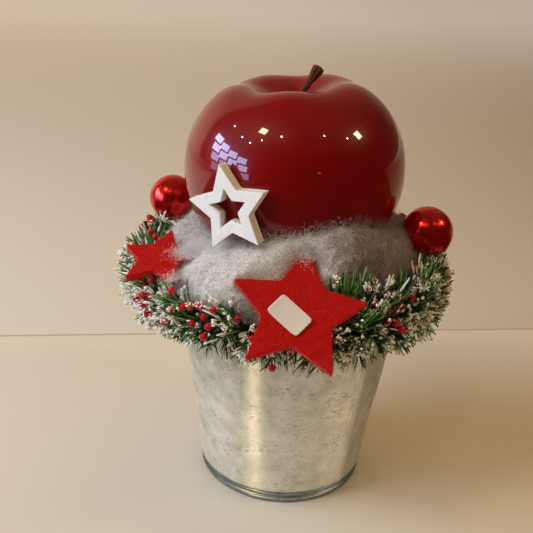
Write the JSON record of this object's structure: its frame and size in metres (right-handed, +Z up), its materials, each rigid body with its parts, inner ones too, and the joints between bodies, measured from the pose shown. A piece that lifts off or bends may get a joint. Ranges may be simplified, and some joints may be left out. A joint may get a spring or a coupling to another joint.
{
  "type": "Christmas table decoration, artificial apple on a zinc bucket",
  "caption": "Christmas table decoration: a large glossy artificial apple on a zinc bucket, ringed with wadding and a snowy pine garland with baubles and stars.",
  "frame": {"origin": "under the middle of the whole object, at the level of the bucket's underside", "axes": "+Z up, the front with the large felt star faces -Y, +X to the right of someone who looks at the front"},
  "size_m": [0.2045, 0.2156, 0.2602],
  "materials": {
    "galvanised_zinc": "galvanised sheet with faint mottling and dark smudges, satin",
    "red_lacquer": "deep red high-gloss lacquer",
    "stem_brown": "dark brown, ribbed, matt",
    "florist_foam": "open-cell dry foam, hidden",
    "wadding": "teased polyester fibre",
    "pine": "artificial pine needles on twisted wire",
    "snow": "white flocking",
    "berry": "red glossy beads",
    "bauble_red": "metallised red with a fine sparkle",
    "silver_cap": "thin stamped cap and wire",
    "red_felt": "pressed felt, matt and slightly hairy",
    "white_wood": "white painted faces, raw sawn edges",
    "blank_paper": "off-white uncoated paper"
  },
  "bodies": {
    "root": {"bucket": "galvanised_zinc", "foam": "florist_foam", "apple": "red_lacquer", "apple_stem": "stem_brown", "wadding": "wadding", "garland_01": "pine", "garland_02": "pine", "garland_03": "pine", "garland_04": "pine", "garland_05": "pine", "garland_06": "pine", "garland_07": "pine", "garland_08": "pine", "garland_09": "pine", "garland_10": "pine", "garland_11": "pine", "garland_12": "pine", "garland_13": "pine", "garland_14": "pine", "bauble_right": "bauble_red", "bauble_left": "bauble_red", "felt_star_front": "red_felt", "felt_star_left": "red_felt", "felt_star_back": "red_felt", "wooden_star": "white_wood", "label": "blank_paper"}
  },
  "joints": []
}
